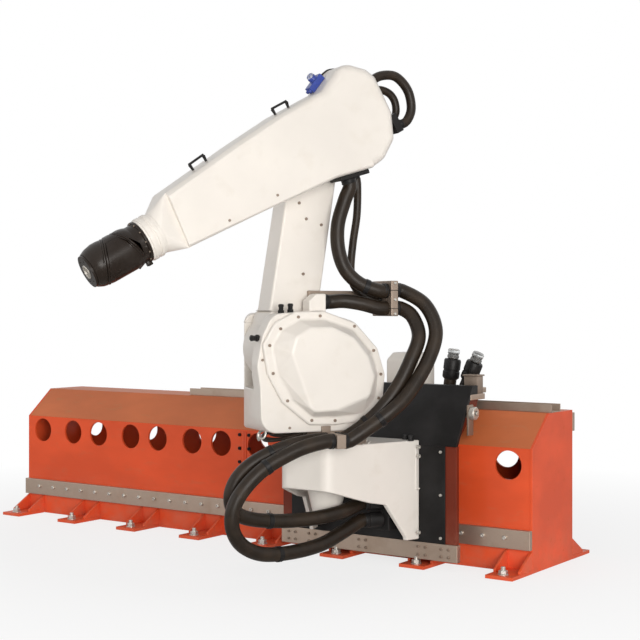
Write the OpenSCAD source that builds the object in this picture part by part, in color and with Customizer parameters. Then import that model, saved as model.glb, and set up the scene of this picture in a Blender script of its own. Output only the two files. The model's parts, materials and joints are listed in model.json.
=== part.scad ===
// Six-axis painting robot on a trolley that travels along a floor rail.
// X runs along the rail, -Y points to the working side, Z is up, in millimetres.
// The origin is on the floor, under the middle of the rail beam, level with the trolley at rest.

/* [Rail] */
// Length of the rail beam
rail_l = 3650; // [3000:10:4200]
// Place of the rail's middle along X, measured from the trolley at rest
rail_mid = -942; // [-1000:2:-800]
// Pitch of the floor feet
bay = 500; // [460:10:510]
// Depth of the rail beam, front plate to back plate
beam_d = 500; // [460:10:560]
// Height of the upright front plate
front_h = 635; // [600:5:660]
// Height of the flat top of the beam
beam_h = 805; // [790:5:830]
// How far the sloping roof plate sets back
roof_run = 200; // [180:5:230]
// Plate thickness of the beam
plate_t = 14; // [10:1:18]
// Diameter of the access holes
hole_d = 150; // [120:5:165]
// Height of the access holes' centres
hole_z = 545; // [530:5:550]
// Distance from a foot to the see-through hole of its bay
hole_offset = 60; // [40:5:80]
// Distance from the see-through hole to the blind hole of its bay
hole_step = 275; // [240:5:290]

/* [Feet] */
// Width of a foot along the rail
foot_w = 150; // [120:5:180]
// Reach of a foot from the beam
foot_l = 230; // [200:5:250]
// Thickness of the foot plate
foot_t = 18; // [14:1:20]
// Height of the foot's gussets
gusset_h = 114; // [100:1:114]
// Reach of the foot's gussets
gusset_l = 140; // [110:5:140]
// Thickness of the foot's gussets
gusset_t = 14; // [10:1:18]
// Diameter of the floor anchor holes
anchor_d = 26; // [20:1:30]

/* [Guides] */
// Height of a guide bar
guide_h = 100; // [90:5:105]
// Thickness of a guide bar
guide_t = 30; // [24:1:32]
// Height of the front guide bar's lower edge
guide_z = 120; // [115:1:122]
// Drop of the rear guide bar's lower edge below the beam's top
rear_guide_drop = 115; // [105:5:125]
// Roller diameter
roller_d = 84; // [70:2:86]
// Running gap between a roller and its guide
roller_gap = 0.3; // [0.2:0.1:1]
// Length of the cable tray on the beam
tray_l = 2450; // [1800:10:2470]
// Width of the cable tray
tray_w = 110; // [90:5:120]
// Height of the cable tray
tray_h = 42; // [30:2:50]

/* [Trolley] */
// Width of the trolley along the rail
trolley_w = 1090; // [1040:10:1140]
// Gap from the beam to the back of the trolley plate
trolley_gap = 150; // [146:1:160]
// Thickness of the trolley plate
trolley_t = 30; // [24:1:36]
// Height of the trolley plate's upper edge
panel_top = 640; // [635:1:650]
// Thickness of the sheet panels
sheet_t = 6; // [4:1:8]
// Height of the bottom bar
bar_h = 90; // [80:2:96]
// Height of the bottom bar's lower edge
bar_z = 45; // [40:1:50]
// Gap between the beam's top and the bridge plate
bridge_gap = 65; // [60:1:85]
// Thickness of the bridge plate
bridge_t = 30; // [24:1:36]
// Width of the bridge plate behind the couplings
bridge_w = 600; // [560:10:640]
// Height of the sloping cover's lip above the bridge plate
hood_lip = 45; // [35:5:60]
// Bare strip of the trolley plate at each end of its sheet panel
panel_margin = 62; // [40:2:80]

/* [Console] */
// Distance from the beam to the slewing axis
slew_out = 560; // [550:5:580]
// Height of the console's deck
deck_z = 665; // [655:5:675]
// Half width of the console at the trolley
console_rear = 356; // [340:4:372]
// Half width of the console's nose
console_nose = 145; // [135:5:160]
// Distance from the beam to the nose
nose_out = 770; // [765:5:790]
// Wall thickness of the console
console_t = 25; // [20:1:30]
// Radius of the slewing ring
slew_r = 205; // [180:5:210]
// Height of the slewing ring
slew_h = 40; // [34:1:44]
// Running gap of the slewing ring
slew_gap = 0.5; // [0.3:0.1:1]

/* [Swivel] */
// Turn of the arm from straight out, towards -X
turn = 30; // [28:1:32]
// Height of the housing's underside
housing_z = 740; // [735:1:745]
// Half width of the housing
housing_w = 200; // [190:5:210]
// Plan radius of the housing's far front corner
housing_r = 150; // [120:5:160]
// Half width of the slot for the lower arm
slot_w = 110; // [106:1:116]
// Depth of the bulge on a side cover
cover_h = 78; // [60:2:84]
// Thickness of a side cover's flange
flange_t = 22; // [16:1:26]

/* [Arms] */
// Forward reach of the shoulder axis
shoulder_u = 250; // [245:1:255]
// Height of the shoulder axis
shoulder_z = 1150; // [1145:1:1155]
// Length of the lower arm between its axes
lower_l = 1055; // [1040:5:1070]
// Backward lean of the lower arm
lean = 9; // [8:0.5:10]
// Depth of the lower arm, front to back
lower_d = 265; // [250:5:280]
// Half thickness of the lower arm
lower_w = 80; // [70:2:80]
// Half thickness of the lower arm's foot
hub_w = 104; // [90:1:104]
// Radius of the lower arm's foot
hub_r = 175; // [150:5:180]
// Downward pitch of the upper arm
pitch = 29; // [28:0.5:30]
// Inner face of the upper arm, from the robot's middle plane
upper_in = 98; // [97:1:104]
// Width of the upper arm
upper_w = 184; // [176:2:190]
// Distance from the elbow axis to the wrist collar's face
collar_u = 1105; // [1095:5:1115]
// Radius of the wrist collar
collar_r = 108; // [100:2:112]
// Running gap between arms and between wrist bodies
joint_gap = 0.5; // [0.3:0.1:1]

/* [Wrist] */
// Radius of the wrist at its slanted joints
wrist_r = 104; // [96:2:106]
// Radius of the neck
neck_r = 94; // [88:2:94]
// Distance from the collar to the first slanted joint
neck_l = 92; // [88:1:100]
// Distance between the slanted joints
mid_l = 112; // [106:2:120]
// Distance from the second slanted joint to the tool face
head_l = 98; // [96:2:110]
// Slant of the inner wrist joints
slant = 24; // [20:1:25]
// Radius of the hollow bore through the tool face
bore_r = 35; // [30:1:40]
// Radius of the tool face
tool_r = 80; // [76:1:84]
// Radius of the tool bolt circle
tool_bolt_r = 58; // [54:1:60]

/* [Hoses] */
// Diameter of a hose
hose_d = 72; // [60:2:76]
// Diameter of the thin hoses
thin_d = 40; // [30:2:44]
// Diameter of the elbow's outer hose
elbow_hose_d = 48; // [40:2:56]

/* [Hidden] */
$fn = 48;

paint_red = "#d2522c";
paint_white = "#ece9e2";
steel = "#8d8c88";
black = "#1d1d1f";

front_y = -beam_d / 2;
back_y = beam_d / 2;
rail_x0 = rail_mid - rail_l / 2;
rail_x1 = rail_mid + rail_l / 2;
bays = floor((rail_l - foot_w) / bay);
foot_x0 = rail_mid - bays * bay / 2;
rear_guide_z = beam_h - rear_guide_drop;
bridge_z = beam_h + bridge_gap;
seat_z = bridge_z + bridge_t;
hood_top = seat_z + hood_lip;
plate_y = front_y - trolley_gap;
panel_y = plate_y - trolley_t;
console_y = panel_y - sheet_t;
slew_y = front_y - slew_out;
ring_top = deck_z + slew_h;
elbow_u = shoulder_u - lower_l * sin(lean);
elbow_z = shoulder_z + lower_l * cos(lean);
upper_mid = upper_in + upper_w / 2;
wrist_up = 10;
collar_l = 80;
eps = 1;
seat_gap = 0.3;

// Ends of the upper arm's belly line behind the elbow, forward and up from the elbow axis
belly_rear = [-123, -226];
belly_front = [81, -181];
// Height of the upper arm's flat top and reach of its rear end, from the elbow axis
arm_top = 230;
rear_u = -355;
function belly(t) = belly_rear + t * (belly_front - belly_rear);

// Places children in the swivel's frame: X across the arm, -Y forward, Z up
module at_swivel() {
    translate([0, slew_y, 0])
    rotate([0, 0, -turn])
    children();
}

// Places children at the shoulder axis, with Z up along the lower arm
module at_lower_arm() {
    at_swivel()
    translate([0, -shoulder_u, shoulder_z])
    rotate([-lean, 0, 0])
    children();
}

// Places children at the elbow axis, with -Y forward along the upper arm
module at_upper_arm() {
    at_swivel()
    translate([0, -elbow_u, elbow_z])
    rotate([pitch, 0, 0])
    children();
}

// Places children on the wrist axis at a distance from the elbow, with Z forward
module on_wrist(along) {
    at_upper_arm()
    translate([upper_mid, -along, wrist_up])
    rotate([90, 0, 0])
    children();
}

// Turns children so that Z follows the slanted wrist axis
module slanted(angle) {
    rotate([0, 0, 35])
    rotate([angle, 0, 0])
    children();
}

// Extrudes an outline of (forward, up) points across, from x0 to x1
module across(x0, x1) {
    translate([x1, 0, 0])
    rotate([90, 0, -90])
    linear_extrude(x1 - x0)
    children();
}

// Extrudes an outline of (Y, Z) points along X, from x0 to x1
module along_x(x0, x1) {
    translate([x0, 0, 0])
    rotate([90, 0, 90])
    linear_extrude(x1 - x0)
    children();
}

// A box given by its two corners
module block(low, high) {
    translate(low)
    cube(high - low);
}

// A cylinder across the arm, from x0 to x1
module pin_across(x0, x1, r) {
    translate([x0, 0, 0])
    rotate([0, 90, 0])
    cylinder(h = x1 - x0, r = r);
}

// Unit vector and swept tube helpers
function unit(v) = v / norm(v);
function heading(p, i) = unit(p[min(i + 1, len(p) - 1)] - p[max(i - 1, 0)]);
function square_to(v, t) = unit(v - (v * t) * t);
function carried(p, i) = i == 0
    ? square_to(abs(heading(p, 0)[0]) < 0.9 ? [1, 0, 0] : [0, 0, 1], heading(p, 0))
    : square_to(carried(p, i - 1), heading(p, i));
hose_sides = 10;

// A tube along points given as across, forward and up in the frame it is placed in
module tube(route, d) {
    p = [for (q = route) [q[0], -q[1], q[2]]];
    rings = len(p);
    skin = [for (i = [0 : rings - 1])
        let (a = carried(p, i), b = cross(heading(p, i), a))
        for (k = [0 : hose_sides - 1])
            p[i] + d / 2 * (cos(k * 360 / hose_sides) * a + sin(k * 360 / hose_sides) * b)];
    walls = [for (i = [0 : rings - 2], k = [0 : hose_sides - 1])
        let (n = (k + 1) % hose_sides)
        [(i + 1) * hose_sides + k, (i + 1) * hose_sides + n, i * hose_sides + n, i * hose_sides + k]];
    start = [for (k = [0 : hose_sides - 1]) k];
    end = [for (k = [hose_sides - 1 : -1 : 0]) (rings - 1) * hose_sides + k];
    polyhedron(skin, concat([start, end], walls));
}

// Routes of the hoses at rest: across, forward and up from the slewing axis at floor level
lower_outer_route = [[60, -204.4, 260], [60, -165, 260], [90, -60, 220], [140, 100, 170], [190, 290, 152],
    [235, 465, 165], [265, 585, 225], [285, 640, 325], [298, 618, 445], [312, 500, 575], [326, 320, 668],
    [338, 175, 705], [338, 129.6, 705]];
lower_inner_route = [[60, -204.4, 350], [60, -165, 350], [130, -10, 322], [140, 200, 300], [155, 420, 312],
    [178, 560, 352], [200, 612, 430], [215, 585, 530], [230, 490, 615], [250, 325, 682], [262, 175, 705],
    [262, 129.6, 705]];
arc_outer_route = [[338, 80.4, 705], [338, 40, 705], [372, -60, 775], [400, -150, 842], [404, -250, 930],
    [390, -370, 1090], [366, -430, 1240], [308, -400, 1370], [230, -312, 1440], [230, -263.6, 1440]];
arc_inner_route = [[262, 80.4, 705], [262, 40, 705], [292, -50, 765], [322, -140, 850], [345, -225, 965],
    [348, -295, 1090], [335, -350, 1210], [280, -345, 1310], [230, -305, 1352], [230, -263.6, 1352]];
arm_main_route = [[230, -222.4, 1440], [230, -180, 1440], [205, -85, 1475], [185, -15, 1545],
    [174, 20, 1650], [170, 20, 1770], [174, -15, 1890], [182, -42, 1963], [182, -31, 2000]];
arm_short_route = [[230, -222.4, 1352], [230, -180, 1352], [212, -90, 1375], [186, -5, 1388],
    [158, 55, 1384], [158, 97.4, 1384]];
arm_thin_route = [[160, -222.4, 1395], [160, -185, 1395], [135, -100, 1450], [122, -78, 1540],
    [120, -90, 1680], [130, -108, 1830], [141, -105, 1982], [141, -94, 2018.6]];
// Routes of the elbow's hoses: across, forward and up from the elbow axis
elbow_outer_route = [[188, -355.5, 150], [188, -425, 150], [188, -500, 110], [188, -530, 20],
    [188, -505, -70], [188, -450, -115], [188, -400.5, -115]];
elbow_inner_route = [[140, -355.5, 90], [140, -405, 90], [140, -450, 50], [140, -462, 0], [140, -445, -50],
    [140, -420, -72], [140, -400.5, -72]];

// Rail

// Holes along the rail: two per bay in front and one behind, with a single one before the end foot
foot_x1 = foot_x0 + bays * bay;
bay_holes = [for (i = [0 : bays - 2]) foot_x0 + i * bay + hole_offset];
front_holes = concat(bay_holes, bay_holes + [for (i = bay_holes) hole_step], [foot_x1 - hole_offset]);
back_holes = concat(bay_holes, [foot_x1 - hole_offset - bay / 2]);

module rail_front_plate() {
    color(paint_red)
    difference() {
        block([rail_x0 + plate_t, front_y, plate_t], [rail_x1 - plate_t, front_y + plate_t, front_h]);
        for (x = front_holes)
            translate([x, front_y - eps, hole_z])
            rotate([-90, 0, 0])
            cylinder(h = plate_t + 2 * eps, d = hole_d);
    }
}

module rail_back_plate() {
    color(paint_red)
    difference() {
        block([rail_x0 + plate_t, back_y - plate_t, plate_t],
            [rail_x1 - plate_t, back_y, beam_h - plate_t]);
        for (x = back_holes)
            translate([x, back_y - plate_t - eps, hole_z])
            rotate([-90, 0, 0])
            cylinder(h = plate_t + 2 * eps, d = hole_d);
    }
}

module rail_roof_plate() {
    color(paint_red)
    along_x(rail_x0 + plate_t, rail_x1 - plate_t)
    polygon([[front_y, front_h], [front_y + roof_run, beam_h], [back_y, beam_h], [back_y, beam_h - plate_t],
        [front_y + roof_run + plate_t / 2, beam_h - plate_t], [front_y + plate_t, front_h]]);
}

module rail_base_plate() {
    color(paint_red)
    block([rail_x0 + plate_t, front_y, 0], [rail_x1 - plate_t, back_y, plate_t]);
}

module rail_end_plates() {
    color(paint_red)
    for (x = [rail_x0, rail_x1 - plate_t])
        along_x(x, x + plate_t)
        polygon([[front_y, 0], [front_y, front_h], [front_y + roof_run, beam_h], [back_y, beam_h],
            [back_y, 0]]);
}

// Places children at every foot, on both sides, reaching towards -Y from the beam's face
module at_feet() {
    for (i = [0 : bays])
        translate([foot_x0 + i * bay, 0, 0]) {
            translate([0, front_y, 0])
            children();
            translate([0, back_y, 0])
            rotate([0, 0, 180])
            children();
        }
}

module rail_feet() {
    color(paint_red)
    at_feet()
    difference() {
        block([-foot_w / 2, -foot_l, 0], [foot_w / 2, 0, foot_t]);
        translate([0, -foot_l + 2 * anchor_d, -eps])
        cylinder(h = foot_t + 2 * eps, d = anchor_d);
    }
}

module foot_gussets() {
    color(paint_red)
    at_feet()
    for (x = [-foot_w / 2, foot_w / 2 - gusset_t])
        along_x(x, x + gusset_t)
        polygon([[0, foot_t], [-gusset_l, foot_t], [-gusset_l, foot_t + gusset_t], [0, gusset_h]]);
}

module front_guide_bar() {
    color(steel)
    block([rail_x0, front_y - guide_t, guide_z], [rail_x1, front_y, guide_z + guide_h]);
}

module rear_guide_bar() {
    color(steel)
    block([rail_x0, back_y, rear_guide_z], [rail_x1, back_y + guide_t, rear_guide_z + guide_h]);
}

module cable_tray() {
    tray_t = 4;
    y0 = front_y + roof_run + 35;
    color(steel)
    difference() {
        block([rail_x1 - tray_l, y0, beam_h], [rail_x1, y0 + tray_w, beam_h + tray_h]);
        block([rail_x1 - tray_l - eps, y0 + tray_t, beam_h + tray_t],
            [rail_x1 + eps, y0 + tray_w - tray_t, beam_h + tray_h + eps]);
    }
}

// Trolley

rib_x = trolley_w / 2 - 70;
rib_t = 24;
rib_clear = 22;
// Depth the ribs reach into the plate and the bridge they are welded to
rib_bite = 5;
hood_back = front_y - 3;
hood_run = 60;
hood_clear = 2;
// Inside of the sloping cover at a height
hood_foot = [console_y + 2 * sheet_t, panel_top];
hood_head = [hood_back + sheet_t / 3, hood_top - sheet_t];
hood_slope = (hood_head - hood_foot)[0] / (hood_head - hood_foot)[1];
function hood_y(z) = hood_foot[0] + (z - hood_foot[1]) * hood_slope;
bridge_front = hood_y(seat_z) + hood_clear;
bridge_back = back_y + guide_t + roller_d + 20;
coupling_y = front_y + 198;
coupling_x = [296, 384];
coupling_tilt = [8, 24];
coupling_seat = 60;

// Outline of the bridge plate seen from above: as wide as the trolley in front, narrow over the beam
module bridge_plan() {
    seat_x = coupling_x[1] + coupling_seat;
    half = trolley_w / 2;
    polygon([[half, bridge_front], [half, coupling_y - coupling_seat], [seat_x, coupling_y + coupling_seat],
        [bridge_w / 2, coupling_y + 2 * coupling_seat], [bridge_w / 2, bridge_back],
        [-bridge_w / 2, bridge_back], [-bridge_w / 2, coupling_y + 2 * coupling_seat],
        [-seat_x, coupling_y + coupling_seat], [-half, coupling_y - coupling_seat], [-half, bridge_front]]);
}

module trolley_frame() {
    color("#6f2a1c") {
        block([-trolley_w / 2, panel_y, bar_z + bar_h], [trolley_w / 2, plate_y, panel_top]);
        for (x = [-rib_x, rib_x - rib_t])
            along_x(x, x + rib_t)
            polygon([[plate_y - rib_bite, front_h - 120], [plate_y - rib_bite, panel_top],
                [plate_y, panel_top], [bridge_front, bridge_z], [bridge_front, bridge_z + rib_bite],
                [front_y + roof_run, bridge_z + rib_bite], [front_y + roof_run, bridge_z],
                [front_y + roof_run - rib_clear, beam_h + rib_clear],
                [front_y - rib_clear, front_h + rib_clear], [plate_y, front_h - 120]]);
        translate([0, 0, bridge_z])
        linear_extrude(bridge_t)
        bridge_plan();
    }
}

module trolley_panel() {
    color(black)
    block([-trolley_w / 2 + panel_margin, console_y, bar_z + bar_h],
        [trolley_w / 2 - panel_margin, panel_y, panel_top]);
}

module trolley_bar() {
    color(steel)
    block([-trolley_w / 2 - 8, console_y, bar_z], [trolley_w / 2 + 8, plate_y, bar_z + bar_h]);
}

// Sloping sheet cover with closed ends, over the trolley's ribs
module trolley_cover() {
    back = hood_back + hood_run;
    end_band = 14;
    color(black) {
        along_x(-trolley_w / 2, trolley_w / 2)
        polygon([[console_y, panel_top], [hood_back, hood_top], [back, hood_top], [back, seat_z],
            [back - sheet_t, seat_z], [back - sheet_t, hood_top - sheet_t], hood_head, hood_foot]);
        for (x = [-trolley_w / 2, trolley_w / 2 - sheet_t])
            along_x(x, x + sheet_t)
            polygon([[console_y + sheet_t, panel_top], [hood_back + sheet_t / 6, hood_top - sheet_t / 2],
                [back - sheet_t / 2, hood_top - sheet_t / 2], [back - sheet_t / 2, seat_z],
                [bridge_front, seat_z], [hood_y(bridge_z) + end_band, bridge_z],
                [hood_foot[0] + end_band, panel_top]]);
    }
}

lower_roller_y = front_y - guide_t - roller_d / 2 - roller_gap;
roller_h = 50;
axle_r = 15;
roller_x = 400;
rear_roller_x = bridge_w / 2 - 70;
bracket_t = 25;

// Rollers on upright axles, against the front guide bar
module lower_rollers() {
    z0 = guide_z + 25;
    for (x = [-roller_x, roller_x])
        translate([x, 0, 0]) {
            translate([0, lower_roller_y, z0])
            cylinder(h = roller_h, d = roller_d);
            translate([0, lower_roller_y, z0])
            cylinder(h = roller_h + 40, r = axle_r);
            block([-45, plate_y, z0 + roller_h + 10],
                [45, lower_roller_y + 30, z0 + roller_h + 10 + bracket_t]);
        }
}

// Rollers that carry the trolley's weight on top of the front guide bar
module support_rollers() {
    z0 = guide_z + guide_h + roller_d / 2 + roller_gap;
    for (x = [-roller_x + 130, roller_x - 130])
        translate([x, front_y - 2, z0])
        rotate([90, 0, 0]) {
            cylinder(h = guide_t - 4, d = roller_d);
            cylinder(h = trolley_gap - 2, r = axle_r);
        }
}

// Rollers that hook behind the rear guide bar
module rear_rollers() {
    z0 = rear_guide_z + 25;
    for (x = [-rear_roller_x, rear_roller_x])
        translate([x, back_y + guide_t + roller_d / 2 + roller_gap, z0]) {
            cylinder(h = roller_h, d = roller_d);
            cylinder(h = bridge_z - z0, r = axle_r);
        }
}

module guide_rollers() {
    color(steel) {
        lower_rollers();
        support_rollers();
        rear_rollers();
    }
}

module travel_drive() {
    drive_h = 205;
    color(paint_white)
    translate([25, front_y + 250, seat_z]) {
        block([-105, -90, 0], [105, 90, drive_h - 40]);
        translate([0, 0, drive_h - 40])
        linear_extrude(40, scale = [0.75, 0.7])
        square([210, 180], center = true);
    }
}

// Two short supply hose ends with their couplings, standing on the bridge plate
module supply_couplings() {
    color(black)
    for (i = [0, 1])
        translate([coupling_x[i], coupling_y, seat_z])
        rotate([0, coupling_tilt[i], 0]) {
            translate([0, 0, (hose_d / 2 - 2) * tan(coupling_tilt[i])])
            cylinder(h = 150, d = hose_d - 4);
            translate([0, 0, 150])
            cylinder(h = 22, d = hose_d + 8);
            translate([0, 0, 172])
            cylinder(h = 40, d = hose_d - 22);
        }
}

// Outline of the console seen from above, shrunk by a margin
module console_plan(margin) {
    nose_r = 70;
    offset(delta = -margin)
    offset(r = nose_r)
    offset(delta = -nose_r)
    polygon([[-console_rear, console_y + nose_r], [console_rear, console_y + nose_r],
        [console_nose, front_y - nose_out], [-console_nose, front_y - nose_out]]);
}

console_foot = 150;

module console() {
    deck_t = 30;
    nose_z = 445;
    color(paint_white)
    difference() {
        translate([0, 0, console_foot])
        linear_extrude(deck_z - console_foot)
        console_plan(0);
        translate([0, 0, console_foot - eps])
        linear_extrude(deck_z - deck_t - console_foot + eps)
        console_plan(console_t);
        block([-2 * console_rear, console_y, 0], [2 * console_rear, console_y + 200, 2 * deck_z]);
        along_x(-2 * console_rear, 2 * console_rear)
        polygon([[console_y - 85, 0], [console_y - 85, console_foot + 15],
            [console_y - 215, console_foot + 195],
            [console_y - 320, console_foot + 215], [front_y - nose_out - eps, nose_z],
            [front_y - nose_out - eps, 0]]);
    }
    color(paint_white)
    block([-console_rear + console_t, console_y - console_t, console_foot + 260],
        [console_rear - console_t, console_y, deck_z - deck_t]);
}

module gear_cup() {
    color("#c9c6bd")
    translate([0, slew_y, 310]) {
        cylinder(h = 200, r1 = 72, r2 = 120);
        translate([0, 0, 200])
        cylinder(h = deck_z - 30 - 510, r = 120);
    }
}

module slew_ring() {
    color(steel)
    translate([0, slew_y, deck_z])
    difference() {
        cylinder(h = slew_h, r = slew_r);
        translate([0, 0, -eps])
        cylinder(h = slew_h + 2 * eps, r = slew_r - 60);
    }
}

// Bracket with the two fixed hose connectors under the console
module hose_block() {
    color(black) {
        block([130, console_y - 165, 205], [245, console_y - console_t, 400]);
        block([130, console_y - console_t, 205], [245, console_y, 400]);
        at_swivel()
        for (z = [260, 350])
            translate([60, 285, z])
            rotate([90, 0, 0])
            cylinder(h = 80, d = hose_d + 6);
    }
}

// Swivel

module turntable() {
    color("#a9a59b")
    translate([0, slew_y, ring_top + slew_gap])
    cylinder(h = housing_z - ring_top - slew_gap - seat_gap, r = slew_r + 5);
}

// Rounds the outer corners of an outline
module rounded(r) {
    offset(r = r)
    offset(delta = -r)
    children();
}

// Outline of the housing seen from above: square at the near side, rounded at the far side
module housing_plan() {
    near = 20;
    rear_r = 100;
    front = [-housing_w + housing_r, -275];
    rear = [-housing_w + rear_r, 215 - rear_r];
    hull() {
        translate([housing_w - near, -480])
        square([near, 700]);
        translate(front)
        circle(housing_r);
        translate(rear)
        circle(rear_r);
    }
}

module swivel_housing() {
    slot_z = 955;
    color(paint_white)
    at_swivel()
    difference() {
        union() {
            intersection() {
                across(-housing_w, housing_w)
                rounded(85)
                polygon([[405, housing_z], [450, 790], [455, 960], [472, 1070], [445, 1215], [390, 1325],
                    [130, 1340], [-60, 1285], [-180, 1140], [-215, 1010], [-215, 860], [-160, housing_z]]);
                translate([0, 0, housing_z - eps])
                linear_extrude(800)
                housing_plan();
            }
            across(slot_w + 6, housing_w - 4)
            polygon([[98, 1320], [98, 1424], [150, 1424], [190, 1390], [190, 1320]]);
        }
        across(-slot_w, slot_w)
        polygon([[600, slot_z], [600, 1500], [-400, 1500], [-400, 1130], [40, slot_z]]);
    }
}

// Bulging cover with a bolted flange, built outwards from X = 0
module side_cover() {
    rise = flange_t + cover_h;
    across(0, flange_t)
    rounded(40)
    polygon([[60, 772], [200, 776], [345, 890], [425, 1030], [452, 1175], [388, 1282], [280, 1335],
        [120, 1338], [-55, 1280], [-180, 1150], [-222, 1020], [-210, 890], [-110, 785]]);
    hull() {
        across(flange_t - eps, flange_t)
        rounded(40)
        polygon([[62, 815], [185, 818], [300, 910], [376, 1038], [402, 1168], [350, 1248], [262, 1294],
            [125, 1296], [-35, 1244], [-140, 1130], [-176, 1018], [-165, 905], [-90, 825]]);
        across(rise - eps, rise)
        rounded(30)
        polygon([[95, 850], [222, 846], [268, 990], [332, 1132], [306, 1212], [225, 1258], [110, 1258],
            [-5, 1205], [-85, 1110], [-120, 1010], [-90, 915]]);
    }
}

module near_side_cover() {
    color(paint_white)
    at_swivel()
    translate([housing_w, 0, 0])
    side_cover();
}

// Flat bolted cover over the motor space, with a raised middle
module far_side_cover() {
    color(paint_white)
    at_swivel()
    translate([-housing_w - flange_t, 0, 0]) {
        across(flange_t / 2, flange_t)
        rounded(40)
        polygon([[-85, 830], [235, 830], [235, 1150], [170, 1240], [-10, 1240], [-85, 1140]]);
        across(0, flange_t / 2)
        rounded(30)
        polygon([[-45, 870], [195, 870], [195, 1130], [145, 1200], [10, 1200], [-45, 1125]]);
    }
}

clamp_u = 105;
clamp_half = 24;

// Clamp for the two hoses, hung on the side of the housing below the near cover
module lower_clamp() {
    tab_t = 14;
    clamp_z = 671;
    color("#b9b7b1")
    at_swivel() {
        block([housing_w, -clamp_u - clamp_half, housing_z - 30],
            [housing_w + tab_t, -clamp_u + clamp_half, 768]);
        difference() {
            block([housing_w + tab_t, -clamp_u - clamp_half, clamp_z],
                [382, -clamp_u + clamp_half, housing_z - 2]);
            block([298, -clamp_u - clamp_half - eps, clamp_z - eps],
                [302, -clamp_u + clamp_half + eps, clamp_z + 50]);
        }
    }
}

// Arms

module lower_arm() {
    half = lower_d / 2;
    color(paint_white)
    at_lower_arm() {
        pin_across(-slot_w + joint_gap, slot_w - joint_gap, 110);
        pin_across(-hub_w, hub_w, hub_r);
        across(-hub_w, hub_w)
        polygon([[half + 18, 0], [half + 8, 130], [half, 170], [-half, 170], [-half - 8, 130],
            [-half - 18, 0]]);
        across(-lower_w, lower_w)
        polygon([[half, 160], [half - 4, lower_l], [-half + 4, lower_l], [-half, 160]]);
        translate([0, 0, lower_l])
        pin_across(-lower_w, lower_w, half - 4);
    }
}

arm_clamp_u = -243;

module arm_clamp() {
    half = 20;
    color("#9b9994")
    at_swivel() {
        block([lower_w, -150, 1400], [lower_w + 22, -arm_clamp_u - half, 1440]);
        block([lower_w, -arm_clamp_u - half, 1312], [282, -arm_clamp_u + half, 1490]);
    }
}

// Stations of the upper arm, front to back: bottom point and top point, forward and up
arm_stations = [[[935, -118], [915, 162]], [[508, -146], [485, 208]], [belly_front, [215, arm_top]],
    [belly_rear, [-100, arm_top]]];
// Slope of the hump in front of the rear end, and where it leaves the arm's flat top
ramp = 0.44;
ramp_foot = -50;
// Outline of the rounded rear end
arm_rear = [[ramp_foot + 90, arm_top - 90 * ramp], [ramp_foot - 130, arm_top + 130 * ramp], [-215, 294],
    [-257, 280], [-325, 224], [rear_u, 168], [rear_u, -30], [-302, -156],
    [-203, -218], belly_rear, [60, -150]];
// Rounding of the upper arm's near edge, and how far its face sets in at top, bottom and rear
near_r = 45;
face_drop = 40;
face_rise = 16;
near_turns = [0, 30, 60, 90];

// Where a slice of the near edge lies across the arm, and its share of the set-in
function slice_n(a) = upper_in + upper_w - near_r + near_r * sin(a);
function slice_in(a) = 1 - cos(a);

// Extrudes a slice of the upper arm: the full width behind the near edge, thin slices within it
module arm_slice(a) {
    across(a == 0 ? upper_in : slice_n(a) - eps / 4, slice_n(a))
    children();
}

module upper_arm() {
    color(paint_white)
    at_upper_arm() {
        for (i = [0 : len(arm_stations) - 2]) {
            p = arm_stations[i];
            q = arm_stations[i + 1];
            hull()
            for (a = near_turns) {
                rise = [0, face_rise * slice_in(a)];
                drop = [0, face_drop * slice_in(a)];
                arm_slice(a)
                polygon([p[0] + rise, q[0] + rise, q[1] - drop, p[1] - drop]);
            }
        }
        hull()
        for (a = near_turns)
            arm_slice(a)
            offset(delta = -near_r * slice_in(a))
            rounded(50)
            polygon(arm_rear);
        hull() {
            across(upper_in, slice_n(30))
            polygon([arm_stations[0][0], arm_stations[0][0] - [15, 0], arm_stations[0][1],
                arm_stations[0][1] + [12, -4]]);
            translate([upper_mid, -collar_u + collar_l + 2, wrist_up])
            rotate([90, 0, 0])
            cylinder(h = 2, r = collar_r - 6, $fn = 32);
        }
    }
}

module elbow_boss() {
    color(steel)
    at_upper_arm()
    pin_across(lower_w + joint_gap, upper_in, 100);
}

// Dark back plate of the elbow, a little larger than the arm's rear end, with the hose connectors
module elbow_plate() {
    plate = 12;
    rim = 7;
    block_u = [-400, rear_u - 5];
    block_z = [-145, -48];
    color(black)
    at_upper_arm() {
        across(upper_in - plate, upper_in) {
            intersection() {
                offset(delta = rim)
                rounded(50)
                polygon(arm_rear);
                translate([-600, -300])
                square([450, 700]);
            }
            translate([block_u[0], block_z[0]])
            square([100, block_z[1] - block_z[0]]);
        }
        across(upper_in - plate, upper_in + 114)
        polygon([[block_u[1], block_z[1]], [block_u[0], block_z[1]], [block_u[0], block_z[0]],
            [block_u[1], block_z[0]]]);
    }
}

// Stepped collar that carries the wrist
module wrist_collar() {
    step = 5;
    color(paint_white)
    on_wrist(collar_u - collar_l)
    rotate_extrude()
    polygon([[0, 0], [collar_r - step, 0], [collar_r - step, 16], [collar_r, 16], [collar_r, 34],
        [collar_r - step, 34], [collar_r - step, 46], [collar_r, 46], [collar_r, 70], [collar_r - step, 70],
        [collar_r - step, collar_l], [0, collar_l]]);
}

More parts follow.
